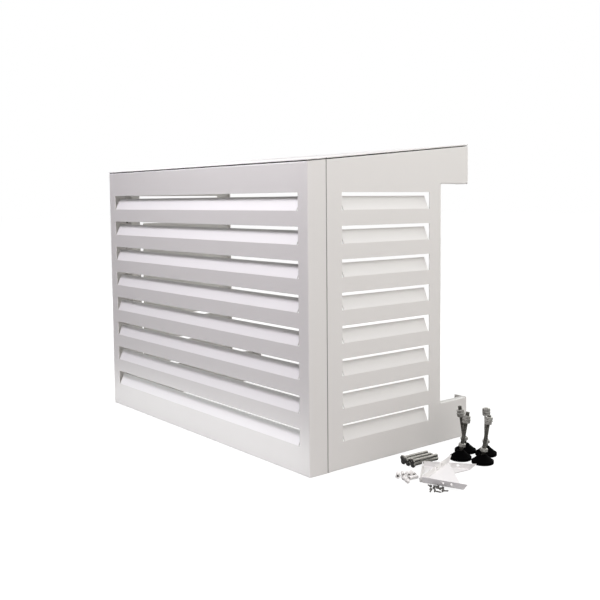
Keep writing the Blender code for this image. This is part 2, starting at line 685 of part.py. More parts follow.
def stud_mesh():
    neck_angle = math.asin(NECK_RADIUS / BALL_RADIUS)
    shank = [(0, STUD_LENGTH), (STUD_RADIUS - STUD_CHAMFER, STUD_LENGTH),
             (STUD_RADIUS, STUD_LENGTH - STUD_CHAMFER),
             (STUD_RADIUS, NECK_LENGTH + STUD_CHAMFER), (NECK_RADIUS, NECK_LENGTH)]
    ball = arc(BALL_RADIUS, 0, neck_angle, math.pi)
    ball[-1] = (0, -BALL_RADIUS)
    return smooth(turned(shank + ball, TURNED_SEGMENTS, "stud"))


def ring_mesh(body, height, name):
    bore = cylinder(STUD_RADIUS + BORE_CLEARANCE, -OVERRUN, height + OVERRUN, TURNED_SEGMENTS)
    return boolean_mesh(body, bore, "DIFFERENCE", name)


def swivel_feet(plastic, steel):
    pad = pad_mesh()
    stud = stud_mesh()
    nut = ring_mesh(hexagon(NUT_FLATS, 0, NUT_HEIGHT), NUT_HEIGHT, "nut")
    washer = ring_mesh(cylinder(WASHER_RADIUS, 0, WASHER_HEIGHT, TURNED_SEGMENTS),
                       WASHER_HEIGHT, "washer")
    lean_axis = (-math.sin(LEAN_AZIMUTH), math.cos(LEAN_AZIMUTH), 0)
    for name, at, lean, jam_rise, clamp_drop in FEET:
        place(name + "_pad", pad.copy(), plastic, beside_screen(*at))
        ball = bpy.data.objects.new(name + "_ball_centre", None)
        PARTS.objects.link(ball)
        ball.matrix_world = beside_screen(*at, BALL_HEIGHT) @ Matrix.Rotation(lean, 4, lean_axis)
        place(name + "_stud", stud.copy(), steel, parent=ball)
        clamp_rise = STUD_LENGTH - clamp_drop
        washer_rise = clamp_rise + NUT_HEIGHT + SEAT_GAP
        top_rise = washer_rise + WASHER_HEIGHT + SEAT_GAP
        pieces = (("_jam_nut", nut, jam_rise), ("_clamp_nut", nut, clamp_rise),
                  ("_washer", washer, washer_rise), ("_top_nut", nut, top_rise))
        for ending, mesh, rise in pieces:
            place(name + ending, mesh.copy(), steel, Matrix.Translation((0, 0, rise)), ball)


# Gusset brackets

def bracket(name, matrix, material):
    root = BRACKET_LEG - BEND_RADIUS
    diagonal = Vector((1, 1, 0)).normalized()
    bm = flat_blank(Vector((0, 0, 0)), X_AXIS, Y_AXIS, [BEND_RADIUS, root], [BEND_RADIUS, root])
    split(bm, Vector((BRACKET_LEG, 0, 0)), diagonal, drop_beyond=True)
    for along, across, turn in ((X_AXIS, Y_AXIS, -1), (Y_AXIS, X_AXIS, 1)):
        leg = free_edges(bm, lambda at: near(at.dot(across), BEND_RADIUS) and near(at.z, 0))
        centre = across * BEND_RADIUS + Z_AXIS * BEND_RADIUS
        leg = bend(bm, leg, centre, along, turn * math.pi / 2)
        draw_out(bm, leg, Z_AXIS * (BRACKET_FLANGE - BEND_RADIUS))
        for vertex in bm.verts:
            if near(vertex.co.dot(along), root) and vertex.co.z > STITCH:
                vertex.co += along * developed_rise(vertex.co.z)
    item = folded_sheet(bm, name, -Z_AXIS, lambda at: near(at.z, 0), material)
    item.matrix_world = matrix
    boolean(item, guide(name + "_holes", bracket_holes(), matrix), "DIFFERENCE")
    return item


def developed_rise(height):
    # How far the sheared 45-degree end has run out at this height of the bent flange.
    if height < BEND_RADIUS:
        return BEND_RADIUS * math.acos(1 - height / BEND_RADIUS)
    return BEND_RADIUS * math.pi / 2 + height - BEND_RADIUS


def bracket_holes():
    hole = cylinder(BRACKET_HOLE_RADIUS, -OVERRUN, OVERRUN, SMALL_SEGMENTS)
    height = (BRACKET_FLANGE + BEND_RADIUS) / 2
    matrices = []
    for step in range(2):
        reach = BRACKET_HOLE_FIRST + BRACKET_HOLE_SPACING * step
        for at, axis in (((reach, 0, height), "X"), ((0, reach, height), "Y")):
            matrices.append(Matrix.Translation(at) @ Matrix.Rotation(math.pi / 2, 4, axis))
    return join_copies(hole, matrices, "bracket_holes")


def brackets(material):
    lower = (beside_screen(*LOWER_BRACKET_PLACE)
             @ Matrix.Rotation(LOWER_BRACKET_TURN - math.pi / 2, 4, "Z"))
    upper = (beside_screen(*UPPER_BRACKET_PLACE)
             @ Matrix.Rotation(UPPER_BRACKET_TURN, 4, "Z")
             @ Matrix.Rotation(UPPER_BRACKET_ROLL, 4, "X")
             @ Matrix.Rotation(UPPER_BRACKET_PITCH, 4, "Y"))
    bracket("gusset_bracket_lower", lower, material)
    bracket("gusset_bracket_upper", upper, material)


# Wall anchors, wall plugs and small screws

def anchor_mesh():
    # Lies along +Y with its head at the origin.
    head = hexagon(ANCHOR_HEAD_FLATS, 0, ANCHOR_HEAD_HEIGHT)
    head.transform(Matrix.Rotation(math.pi / 6, 4, "Z"))
    end = ANCHOR_HEAD_HEIGHT + ANCHOR_LENGTH
    profile = [(0, end), (ANCHOR_TIP_RADIUS, end), (ANCHOR_RADIUS, end - ANCHOR_TIP_LENGTH),
               (ANCHOR_RADIUS, ANCHOR_HEAD_HEIGHT / 2), (0, ANCHOR_HEAD_HEIGHT / 2)]
    shank = turned(profile, SMALL_SEGMENTS, "anchor_shank")
    return boolean_mesh(head, shank, "UNION", "anchor")


def wall_anchors(material):
    # Five side by side, head to tip by turns, and three more lying across their heads.
    lay = Matrix.Rotation(-math.pi / 2, 4, "X")
    turn = beside_screen(*ANCHOR_PLACE) @ Matrix.Rotation(ANCHOR_TURN, 4, "Z")
    rest = ANCHOR_HEAD_FLATS / 2
    reach = ANCHOR_HEAD_HEIGHT * 2 + ANCHOR_LENGTH + SEAT_GAP
    matrices = []
    for step in range(5):
        frame = turn @ Matrix.Translation((ANCHOR_SPACING * step, 0, rest))
        if step % 2:
            frame = frame @ Matrix.Translation((0, reach, 0)) @ Matrix.Rotation(math.pi, 4, "Z")
        matrices.append(frame @ lay)
    for step in range(3):
        across = ANCHOR_SPACING * (step * 2 + 1 / 2)
        back = (ANCHOR_HEAD_HEIGHT + SEAT_GAP) * (1 + step % 2)
        rise = ANCHOR_HEAD_FLATS + SEAT_GAP + ANCHOR_RADIUS
        matrices.append(turn @ Matrix.Translation((across, -back, rise)) @ lay)
    place_copies("wall_anchor", anchor_mesh(), matrices, material)


def wall_plugs(material):
    profile = [(0, PLUG_LENGTH), (PLUG_RADIUS / 2, PLUG_LENGTH),
               (PLUG_RADIUS, PLUG_LENGTH - PLUG_RADIUS / 2), (PLUG_RADIUS, PLUG_COLLAR_HEIGHT),
               (PLUG_COLLAR_RADIUS, PLUG_COLLAR_HEIGHT), (PLUG_COLLAR_RADIUS, 0),
               (PLUG_BORE_RADIUS, 0), (PLUG_BORE_RADIUS, PLUG_BORE_DEPTH), (0, PLUG_BORE_DEPTH)]
    mesh = smooth(turned(profile, SMALL_SEGMENTS, "plug"))
    lie_down("wall_plug", mesh, PLUG_PLACES, (PLUG_COLLAR_RADIUS, PLUG_COLLAR_HEIGHT),
             (PLUG_RADIUS, PLUG_LENGTH), material)


def small_screws(material):
    end = SCREW_HEAD_HEIGHT + SCREW_LENGTH
    profile = [(0, end), (SCREW_RADIUS, end - SCREW_RADIUS), (SCREW_RADIUS, SCREW_HEAD_HEIGHT),
               (SCREW_HEAD_RADIUS, SCREW_HEAD_HEIGHT), (SCREW_HEAD_RADIUS, SCREW_RADIUS / 2),
               (SCREW_HEAD_RADIUS - SCREW_RADIUS / 2, 0), (0, 0)]
    mesh = smooth(turned(profile, SMALL_SEGMENTS, "screw"))
    lie_down("small_screw", mesh, SCREW_PLACES, (SCREW_HEAD_RADIUS, SCREW_HEAD_HEIGHT),
             (SCREW_RADIUS, end), material)


def lie_down(stem, mesh, places, head, shank, material):
    # Each copy lies on the floor on its head's inner rim and its tip, head at the given place.
    # Head and shank are (radius, height along the piece) of those two points.
    tilt = math.atan((head[0] - shank[0]) / (shank[1] - head[1]))
    rest = head[0] * math.cos(tilt) + head[1] * math.sin(tilt)
    lay = Matrix.Rotation(math.pi / 2 + tilt, 4, "Y")
    matrices = [beside_screen(*at, rest) @ Matrix.Rotation(turn, 4, "Z") @ lay
                for at, turn in places]
    place_copies(stem, mesh, matrices, material)


clear_scene()
PARTS = new_collection("Air conditioner screen")
CUTTERS = new_collection("Cutters")
CUTTERS.hide_render = True

powder_coat = new_material("Powder coat", (0.79, 0.79, 0.78), 0.45, 0)
zinc_steel = new_material("Zinc-plated steel", (0.56, 0.56, 0.53), 0.35, 1)
black_plastic = new_material("Black plastic", (0.015, 0.015, 0.016), 0.5, 0)
white_nylon = new_material("White nylon", (0.82, 0.82, 0.80), 0.5, 0)
black_steel = new_material("Blackened steel", (0.05, 0.05, 0.05), 0.45, 1)

front = front_panel(powder_coat)
sides = [side_panel("left_side_panel", -1, powder_coat),
         side_panel("right_side_panel", 1, powder_coat)]
drill_panels(front, sides)
roof_panel(powder_coat)
roof_nuts(zinc_steel)
seam_screws(zinc_steel)
swivel_feet(black_plastic, zinc_steel)
brackets(powder_coat)
wall_anchors(zinc_steel)
wall_plugs(white_nylon)
small_screws(black_steel)
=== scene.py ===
import json
import math

import bmesh
import bpy
import numpy as np
from mathutils import Matrix, Vector


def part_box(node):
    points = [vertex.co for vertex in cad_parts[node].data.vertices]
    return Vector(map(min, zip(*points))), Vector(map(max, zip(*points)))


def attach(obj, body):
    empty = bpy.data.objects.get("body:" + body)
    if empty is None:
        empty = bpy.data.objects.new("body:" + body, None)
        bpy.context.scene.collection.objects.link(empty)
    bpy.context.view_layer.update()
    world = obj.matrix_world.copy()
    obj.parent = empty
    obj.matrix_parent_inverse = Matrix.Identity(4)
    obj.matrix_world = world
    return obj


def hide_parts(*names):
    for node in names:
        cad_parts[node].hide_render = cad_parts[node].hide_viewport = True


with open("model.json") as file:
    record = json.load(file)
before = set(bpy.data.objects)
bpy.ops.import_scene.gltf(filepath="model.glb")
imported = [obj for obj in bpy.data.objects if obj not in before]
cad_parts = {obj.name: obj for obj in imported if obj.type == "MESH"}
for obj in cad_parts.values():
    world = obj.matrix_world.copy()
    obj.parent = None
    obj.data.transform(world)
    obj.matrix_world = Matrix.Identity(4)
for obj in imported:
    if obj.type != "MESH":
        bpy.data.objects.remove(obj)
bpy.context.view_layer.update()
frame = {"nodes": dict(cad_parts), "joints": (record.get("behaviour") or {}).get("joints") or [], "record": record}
print("frame loaded:", len(frame["nodes"]), "nodes")


# A socket that takes part in sums: each sum adds its Math node to the same tree.

class Wire:
    def __init__(self, desk, socket):
        self.desk = desk
        self.socket = socket

    def sum(self, operation, *terms):
        return self.desk.add("ShaderNodeMath", {"operation": operation}, dict(enumerate(terms)))

    def __add__(self, other):
        return self.sum("ADD", self, other)

    def __sub__(self, other):
        return self.sum("SUBTRACT", self, other)

    def __mul__(self, other):
        return self.sum("MULTIPLY", self, other)

    def __lt__(self, other):
        return self.sum("LESS_THAN", self, other)

    def __abs__(self):
        return self.sum("ABSOLUTE", self)

    def capped(self):
        return self.sum("MINIMUM", self, 1.0)


class Desk:
    # one node tree, and the single way that nodes are put into it
    def __init__(self, tree):
        self.tree = tree

    def add(self, kind, settings=None, values=None, output=0):
        node = self.tree.nodes.new(kind)
        for name, value in (settings or {}).items():
            setattr(node, name, value)
        self.feed(node, values or {})
        return Wire(self, node.outputs[output])

    def feed(self, node, values):
        for name, value in values.items():
            if isinstance(value, Wire):
                self.tree.links.new(value.socket, node.inputs[name])
            else:
                node.inputs[name].default_value = value

    def objectPlace(self):
        return self.add("ShaderNodeTexCoord", output="Object")

    def part(self, vector, axis):
        return self.add("ShaderNodeSeparateXYZ", values={0: vector}, output=axis)

    def ramp(self, value, start, end, low=0.0, high=1.0):
        # goes from low to high while the value goes from start to end
        return self.add("ShaderNodeMapRange", values={
            "Value": value, "From Min": start, "From Max": end, "To Min": low, "To Max": high})

    def speckle(self, size, detail=2.0, roughness=0.5, stretch=(1, 1, 1)):
        # cloudy noise whose cells are about this many metres across
        spread = self.add("ShaderNodeMapping", values={
            "Vector": self.objectPlace(), "Scale": stretch})
        return self.add("ShaderNodeTexNoise", values={
            "Vector": spread, "Scale": 1 / size, "Detail": detail, "Roughness": roughness})

    def relief(self, height, strength, distance):
        return self.add("ShaderNodeBump", values={
            "Height": height, "Strength": strength, "Distance": distance})

    def blend(self, factor, first, second):
        # inputs 6 and 7 are the Mix node's two colours, and output 2 is their mix
        first, second = (item if isinstance(item, Wire) else (*item, 1)
                         for item in (first, second))
        return self.add("ShaderNodeMix", {"data_type": "RGBA"},
                        {"Factor": factor, 6: first, 7: second}, output=2)

    def lift(self):
        # how far a face looks up: 0 when upright, 1 when level
        return self.part(self.add("ShaderNodeNewGeometry", output="Normal"), "Z")


def newFinish(name, constants):
    material = bpy.data.materials.new(name)
    material.use_nodes = True
    desk = Desk(material.node_tree)
    shader = material.node_tree.nodes["Principled BSDF"]
    desk.feed(shader, constants)
    return material, desk, shader


# Finishes: a noise has its cell size in metres, "relief" is a strength and a depth in metres,
# and "roughness" is the lowest value and what the noise adds to it

powderCoat = {
    "light": (0.785, 0.767, 0.757),
    "dark": (0.760, 0.742, 0.732),
    # painted highlight on slanting faces, such as the louvre blades, for the light from above
    "slantPaintedHighlight": (0.930, 0.920, 0.925),
    # painted shade on level faces, such as the roof
    "levelPaintedShade": (0.650, 0.642, 0.632),
    "cloud": {"size": 0.22, "detail": 3.0},
    "peel": {"size": 0.0016, "roughness": 0.6},
    "relief": (0.35, 0.00003),
    "roughness": (0.41, 0.10),
    "slantingLift": (0.15, 0.36),
    "levelLift": (0.75, 0.98),
    "shader": {"Specular IOR Level": 0.45},
}

# the sides get a weaker painted highlight on their slanting faces, and the brackets are a lighter painted copy of
# the coat with little painted shade on level faces
sideCoat = {**powderCoat, "slantPaintedHighlight": (0.800, 0.790, 0.785)}
bracketCoat = {
    **powderCoat,
    # painted light: the brackets' coat is a lighter copy of the same powder coat
    "light": (0.830, 0.815, 0.812),
    "dark": (0.805, 0.790, 0.787),
    "slantPaintedHighlight": (0.830, 0.815, 0.812),
    "levelPaintedShade": (0.800, 0.792, 0.790),
}

# painted shadow in the groove between a front return and its side panel, in metres of the frame, with the tone of
# that shadow
seamPaintedShadow = {
    "place": 0.0495,
    "fade": (0.0004, 0.0017),
    "innerReach": 0.4885,
    "tone": (0.24, 0.235, 0.220),
}


def seamShadowMask(desk):
    # 0 in the groove on the outside of the screen, where the shadow is painted, 1 everywhere else
    place = desk.objectPlace()
    line = desk.ramp(abs(desk.part(place, "Y") - seamPaintedShadow["place"]), *seamPaintedShadow["fade"])
    inner = abs(desk.part(place, "X")) < seamPaintedShadow["innerReach"]
    return (line + inner).capped()


def makePowderCoat(name, coat):
    material, desk, shader = newFinish(name, coat["shader"])
    peel = desk.speckle(**coat["peel"])
    upright = desk.blend(desk.speckle(**coat["cloud"]), coat["light"], coat["dark"])
    lift = desk.lift()
    # slanting faces get the painted highlight, and level faces the painted shade
    slanting = desk.ramp(lift, *coat["slantingLift"])
    level = desk.ramp(lift, *coat["levelLift"])
    toneWithPaintedLight = desk.blend(level, desk.blend(slanting, upright, coat["slantPaintedHighlight"]), coat["levelPaintedShade"])
    lowest, added = coat["roughness"]
    desk.feed(shader, {
        "Base Color": desk.blend(seamShadowMask(desk), seamPaintedShadow["tone"], toneWithPaintedLight),
        "Roughness": peel * added + lowest,
        "Normal": desk.relief(peel, *coat["relief"]),
    })
    return material


zincPlate = {
    "bright": (0.76, 0.75, 0.71),
    "dull": (0.28, 0.273, 0.250),
    # painted shade on faces that look down, fading out over the facing range
    "paintedShade": (0.014, 0.013, 0.011),
    "facing": (-0.50, 0.60),
    "spots": {"size": 0.0026, "detail": 4.0, "roughness": 0.65},
    "patches": (0.34, 0.66),
    "scratches": {"size": 0.0006, "stretch": (1, 1, 0.2)},
    "relief": (0.2, 0.00004),
    "roughness": (0.34, 0.22),
    "shader": {"Metallic": 0.25, "Specular IOR Level": 0.2},
}

studSteel = {
    **zincPlate,
    "bright": (0.20, 0.19, 0.165),
    "dull": (0.012, 0.011, 0.009),
    "paintedShade": (0.003, 0.003, 0.002),
    "facing": (-0.2, 0.8),
    "spots": {**zincPlate["spots"], "size": 0.004},
    "roughness": (0.38, 0.22),
}

anchorSteel = {
    **zincPlate,
    "bright": (0.66, 0.65, 0.61),
    "dull": (0.24, 0.234, 0.215),
    "paintedShade": (0.010, 0.010, 0.009),
    "facing": (-0.02, 0.82),
    "spots": {**zincPlate["spots"], "size": 0.0022},
    "roughness": (0.36, 0.22),
}


def makeMetal(name, metal):
    # painted shade on faces that look down, and plating in bright and dull patches elsewhere
    material, desk, shader = newFinish(name, metal["shader"])
    spots = desk.speckle(**metal["spots"])
    plating = desk.blend(desk.ramp(spots, *metal["patches"]), metal["bright"], metal["dull"])
    # 0 where the painted shade covers faces that look down, 1 on faces that look up
    litShare = desk.ramp(desk.lift(), *metal["facing"])
    lowest, added = metal["roughness"]
    desk.feed(shader, {
        "Base Color": desk.blend(litShare, metal["paintedShade"], plating),
        "Roughness": spots * added + lowest,
        "Normal": desk.relief(desk.speckle(**metal["scratches"]), *metal["relief"]),
    })
    return material


padRubber = {
    "light": (0.0022, 0.0020, 0.0022),
    "dark": (0.0009, 0.0008, 0.0009),
    "cloud": {"size": 0.012, "detail": 3.0},
    "grain": {"size": 0.0007, "roughness": 0.6},
    "relief": (0.4, 0.00006),
    "roughness": (0.70, 0.16),
    "roughnessFrom": "grain",
    "shader": {"Specular IOR Level": 0.01},
}

plugNylon = {
    "light": (0.86, 0.85, 0.84),
    "dark": (0.78, 0.77, 0.75),
    "cloud": {"size": 0.006, "detail": 3.0},
    "grain": {"size": 0.0005},
    "relief": (0.25, 0.00004),
    "roughness": (0.38, 0.14),
    "roughnessFrom": "grain",
    "shader": {"Specular IOR Level": 0.5},
}

# near-black look of the strip under the roof, which stands in for the shadow in the gap
shadowStripLook = {
    "light": (0.060, 0.058, 0.050),
    "dark": (0.020, 0.019, 0.016),
    "cloud": {"size": 0.0008, "detail": 3.0, "roughness": 0.6},
    "grain": {"size": 0.0008, "detail": 3.0, "roughness": 0.6},
    "relief": (0.5, 0.0001),
    "roughness": (0.80, 0.15),
    "roughnessFrom": "grain",
    "shader": {"Specular IOR Level": 0.1},
}

darkSteel = {
    "light": (0.16, 0.153, 0.140),
    "dark": (0.018, 0.017, 0.015),
    "cloud": {"size": 0.0022, "detail": 4.0, "roughness": 0.6},
    "grain": {"size": 0.0004},
    "relief": (0.25, 0.00003),
    "roughness": (0.34, 0.2),
    "roughnessFrom": "cloud",
    "shader": {"Metallic": 0.4, "Specular IOR Level": 0.3},
}


def makeGrained(name, look):
    material, desk, shader = newFinish(name, look["shader"])
    noise = {layer: desk.speckle(**look[layer]) for layer in ("cloud", "grain")}
    lowest, added = look["roughness"]
    desk.feed(shader, {
        "Base Color": desk.blend(noise["cloud"], look["light"], look["dark"]),
        "Roughness": noise[look["roughnessFrom"]] * added + lowest,
        "Normal": desk.relief(noise["grain"], *look["relief"]),
    })
    return material


finishes = {
    "powder_coat": makePowderCoat("powder coat", powderCoat),
    "side_coat": makePowderCoat("side coat", sideCoat),
    "bracket_coat": makePowderCoat("bracket coat", bracketCoat),
    "zinc_steel": makeMetal("zinc plate", zincPlate),
    "stud_steel": makeMetal("stud steel", studSteel),
    "anchor_steel": makeMetal("anchor steel", anchorSteel),
    "black_plastic": makeGrained("pad rubber", padRubber),
    "white_nylon": makeGrained("plug nylon", plugNylon),
    "black_steel": makeGrained("dark steel", darkSteel),
    "shadow_strip_look": makeGrained("shadow strip look", shadowStripLook),
}
print("finishes made:", len(finishes))


ownFinish = {
    "left_side_panel": "side_coat",
    "right_side_panel": "side_coat",
    "gusset_bracket_lower": "bracket_coat",
    "gusset_bracket_upper": "bracket_coat",
}


def dressFrame():
    for entry in frame["record"]["subparts"]:
        node = entry["node"]
        mesh = frame["nodes"][node].data
        mesh.materials.clear()
        mesh.materials.append(finishes[ownFinish.get(node, entry["material_slot"])])


dressFrame()


# Mesh makers

meshing = {
    "mergeWithin": 0.000001,
    "sharpAngle": 40,
    "cutSharpAngle": 30,
    "prismSharpAngle": 20,
    "threadSteepness": 1.15,
}


def smoothed(mesh, sharpAngle):
    mesh.shade_smooth()
    mesh.set_sharp_from_angle(angle=math.radians(sharpAngle))
    return mesh


def meshFrom(bm, name, sharpAngle=meshing["sharpAngle"]):
    bmesh.ops.recalc_face_normals(bm, faces=bm.faces)
    mesh = bpy.data.meshes.new(name)
    bm.to_mesh(mesh)
    bm.free()
    return smoothed(mesh, sharpAngle)


def turned(name, profile, segments=48, ring=False):
    # a lathe: the profile is a list of (radius, height), and a ring's profile closes on itself
    bm = bmesh.new()
    points = [bm.verts.new((radius, 0, height)) for radius, height in profile]
    pairs = list(zip(points, points[1:]))
    if ring:
        pairs.append((points[-1], points[0]))
    edges = [bm.edges.new(pair) for pair in pairs]
    bmesh.ops.spin(bm, geom=points + edges, cent=(0, 0, 0), axis=(0, 0, 1), angle=math.tau,
                   steps=segments, use_merge=True)
    bmesh.ops.remove_doubles(bm, verts=bm.verts, dist=meshing["mergeWithin"])
    return meshFrom(bm, name)


def shapedRod(name, heights, segments, radiusAt, bore=None):
    # a rod whose radius is a function of height and turn; bore = (radius, depth) opens its start
    bm = bmesh.new()
    rings = []
    for height in heights:
        rings.append(ringOf(bm, segments, height, lambda turn: radiusAt(height, turn)))
    if bore:
        radius, depth = bore
        start = heights[0]
        rings.insert(0, ringOf(bm, segments, start, lambda turn: radius))
        rings.insert(0, ringOf(bm, segments, start + depth, lambda turn: radius))
    for low, high in zip(rings, rings[1:]):
        for step in range(segments):
            after = (step + 1) % segments
            bm.faces.new((low[step], low[after], high[after], high[step]))
    bm.faces.new(rings[0])
    bm.faces.new(rings[-1])
    return meshFrom(bm, name)


def ringOf(bm, segments, height, radiusAt):
    ring = []
    for step in range(segments):
        turn = step / segments
        radius = radiusAt(turn)
        angle = math.tau * turn
        ring.append(bm.verts.new((radius * math.cos(angle), radius * math.sin(angle), height)))
    return ring


def evenly(start, end, count):
    return [start + (end - start) * step / count for step in range(count + 1)]


def threadRadius(height, turn, crest, depth, pitch):
    # a thread's radius at this height and this share of a turn
    phase = (height / pitch - turn) % 1
    return crest - depth * min(1, abs(phase * 2 - 1) * meshing["threadSteepness"])


def inSlit(turn, count, share):
    # whether this share of a turn lies within one of the evenly spaced slits
    phase = turn * count % 1
    return min(phase, 1 - phase) < share * count


def joined(name, meshes):
    bm = bmesh.new()
    for mesh in meshes:
        bm.from_mesh(mesh)
    return meshFrom(bm, name)


def cutMesh(name, body, tool, operation):
    host = bpy.data.objects.new(name, body)
    cutter = bpy.data.objects.new(name + " cutter", tool)
    for item in (host, cutter):
        bpy.context.scene.collection.objects.link(item)
    modifier = host.modifiers.new("cut", "BOOLEAN")
    modifier.operation = operation
    modifier.object = cutter
    modifier.solver = "EXACT"
    view = bpy.context.evaluated_depsgraph_get()
    mesh = bpy.data.meshes.new_from_object(host.evaluated_get(view))
    mesh.name = name
    for item in (host, cutter):
        bpy.data.objects.remove(item)
    return smoothed(mesh, meshing["cutSharpAngle"])


def hexPrism(flats, low, high):
    corner = flats / math.sqrt(3)
    bm = bmesh.new()
    bmesh.ops.create_cone(bm, cap_ends=True, segments=6, radius1=corner, radius2=corner,
                          depth=high - low)
    bmesh.ops.translate(bm, verts=bm.verts, vec=(0, 0, (low + high) / 2))
    bmesh.ops.rotate(bm, verts=bm.verts, matrix=Matrix.Rotation(math.pi / 6, 3, "Z"))
    return meshFrom(bm, "prism", meshing["prismSharpAngle"])


def putPiece(name, mesh, place, body, slot, *nodes, finish=None):
    mesh.transform(place)
    piece = bpy.data.objects.new(name, mesh)
    bpy.context.scene.collection.objects.link(piece)
    mesh.materials.clear()
    mesh.materials.append(finishes[finish or slot])
    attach(piece, body)
    if nodes:
        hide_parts(*nodes)


# Places read from the frame

def pointsOf(node):
    return np.array([tuple(vertex.co) for vertex in frame["nodes"][node].data.vertices])


def layOf(node):
    # a long piece's frame: Z runs from its head to its tip, X is level, the origin is at its head
    points = pointsOf(node)
    middle = points.mean(axis=0)
    axis = np.linalg.svd(points - middle, full_matrices=False)[2][0]
    reach = (points - middle) @ axis
    width = np.linalg.norm(points - middle - np.outer(reach, axis), axis=1)
    if reach[width.argmax()] > (reach.min() + reach.max()) / 2:
        axis = -axis
        reach = -reach
    along = Vector(axis)
    level = along.cross(Vector((0, 0, 1))).normalized()
    turn = Matrix((level, along.cross(level), along)).transposed().to_4x4()
    head, tip = reach.min(), reach.max()
    return Matrix.Translation(Vector(middle) + along * head) @ turn, tip - head


def jointOf(name):
    return next(joint for joint in frame["joints"] if joint["name"] == name)


def footFrame(number):
    # Z runs up the stud from the ball's centre
    centre = Vector(jointOf(f"foot_{number}_tilt")["pos_m"])
    up = Vector(jointOf(f"foot_{number}_top_nut_travel")["axis"])
    turn = Vector((0, 0, 1)).rotation_difference(up).to_matrix().to_4x4()
    return Matrix.Translation(centre) @ turn


def spanOn(node, place):
    # how far up a frame's Z a node starts and ends
    points = pointsOf(node)
    local = np.array(place.inverted()) @ np.c_[points, np.ones(len(points))].T
    return local[2].min(), local[2].max()


# A dark strip in the gap under the roof, along the front and both sides: it stands in for the shadow in that gap

roofShadowStrip = {
    "slope": 5.3,
    "edgeReach": 0.001,
    "edgeInset": 0.0020,
    "width": 0.0070,
    "rearInset": 0.0060,
    "play": 0.00008,
}


def buildRoofShadowStrip():
    part = roofShadowStrip
    slope = math.tan(math.radians(part["slope"]))
    roof = pointsOf("roof_panel")
    edge = roof[np.abs(roof[:, 0]) > roof[:, 0].max() - part["edgeReach"]]
    ceiling = (edge[:, 2] - slope * edge[:, 1]).min() - part["play"]
    seat = max((points[:, 2] - slope * points[:, 1]).max()
               for points in (pointsOf("left_side_panel"), pointsOf("front_panel"))) + part["play"]
    side = roof[:, 0].max() - part["edgeInset"]
    front = roof[:, 1].min() + part["edgeInset"]
    rear = roof[:, 1].max() - part["rearInset"]
    inside, back = side - part["width"], front + part["width"]
    outline = [(-side, rear), (-side, front), (side, front), (side, rear),
               (inside, rear), (inside, back), (-inside, back), (-inside, rear)]
    bm = bmesh.new()
    rings = [[bm.verts.new((x, y, level + slope * y)) for x, y in outline]
             for level in (seat, ceiling)]
    for ring in rings:
        bm.faces.new(ring)
    for step in range(len(outline)):
        after = (step + 1) % len(outline)
        bm.faces.new((rings[0][step], rings[0][after], rings[1][after], rings[1][step]))
    putPiece("roof_shadow_strip", meshFrom(bm, "shadow strip"), Matrix(), "screen_and_kit", "black_plastic",
             finish="shadow_strip_look")
    print("roof shadow strip", round((ceiling - seat) * 1000, 2), "mm thick")


buildRoofShadowStrip()


# Swivel feet

footParts = {
    "threadCrest": 0.00497,
    "threadDepth": 0.00062,
    "pitch": 0.0015,
    "entryTurns": 0.8,
    "rowsPerTurn": 8,
    "segments": 32,
    "neckRadius": 0.0037,
    "neckLength": 0.0105,
    "neckSink": 0.001,
    "ballRadius": 0.0069,
    "nutFlats": 0.0169,
    "nutHeight": 0.008,
    "nutBore": 0.00505,
    "washerRadius": 0.0104,
    "washerBore": 0.0053,
    "washerEdge": 0.0003,
    "nutTurns": (12, 40, 5, 28, 50, 20, 33, 9, 47, 15, 25, 38),
}


def makeStud(length):
    part = footParts
    start, pitch = part["neckLength"], part["pitch"]
    crest, depth = part["threadCrest"], part["threadDepth"]

    def radiusAt(height, turn):
        ends = min(height - start, length - height) / (pitch * part["entryTurns"])
        return min(threadRadius(height, turn, crest, depth, pitch),
                   crest - depth * (1 - min(1, ends)))

    rows = round((length - start) / pitch * part["rowsPerTurn"])
    rod = shapedRod("rod", evenly(start, length, rows), part["segments"], radiusAt)
    ball, neck, top = part["ballRadius"], part["neckRadius"], start + part["neckSink"]
    profile = [(0, top), (neck, top), (neck, start), (neck, ball)]
    profile += [(ball * math.sin(angle), ball * math.cos(angle))
                for angle in evenly(math.asin(neck / ball), math.pi, 14)]
    return joined("stud", [rod, turned("ball", profile, part["segments"])])


nutShape = {
    "faceShare": 0.475,
    "bevelAngle": 30,
    "boreLead": 0.0007,
    "barrelPlay": 0.0002,
    "cutPlay": 0.001,
}


def makeNut(flats, height, bore, name="nut"):
    # a bevelled barrel cut to a hexagon
    corner = flats / math.sqrt(3)
    face = flats * nutShape["faceShare"]
    slope = (corner - face) * math.tan(math.radians(nutShape["bevelAngle"]))
    lead, wide = nutShape["boreLead"], corner + nutShape["barrelPlay"]
    profile = [(bore + lead, 0), (face, 0), (wide, slope), (wide, height - slope),
               (face, height), (bore + lead, height), (bore, height - lead), (bore, lead)]
    prism = hexPrism(flats, -nutShape["cutPlay"], height + nutShape["cutPlay"])
    return cutMesh(name, turned(name, profile, ring=True), prism, "INTERSECT")


def makeWasher(height):
    part = footParts
    outer, inner, edge = part["washerRadius"], part["washerBore"], part["washerEdge"]
    profile = [(inner, edge), (inner + edge, 0), (outer - edge, 0), (outer, edge),
               (outer, height - edge), (outer - edge, height), (inner + edge, height),
               (inner, height - edge)]
    return turned("washer", profile, ring=True)


padParts = {
    "rimHeight": 0.0084,
    "rimRound": 0.0015,
    "collarRadius": 0.0098,
    "collarHeight": 0.0016,
    "collarRound": 0.0005,
    "ballHeight": 0.0150,
    "socketRadius": 0.00725,
    "mouthRise": 0.0040,
    "mouthBevel": 0.0008,
    "soleDepth": 0.0006,
    "soleShares": (0.72, 0.76),
    "ledgeRounds": 1.6,
    "coneShares": (0.02, 1),
    "segments": 96,
}


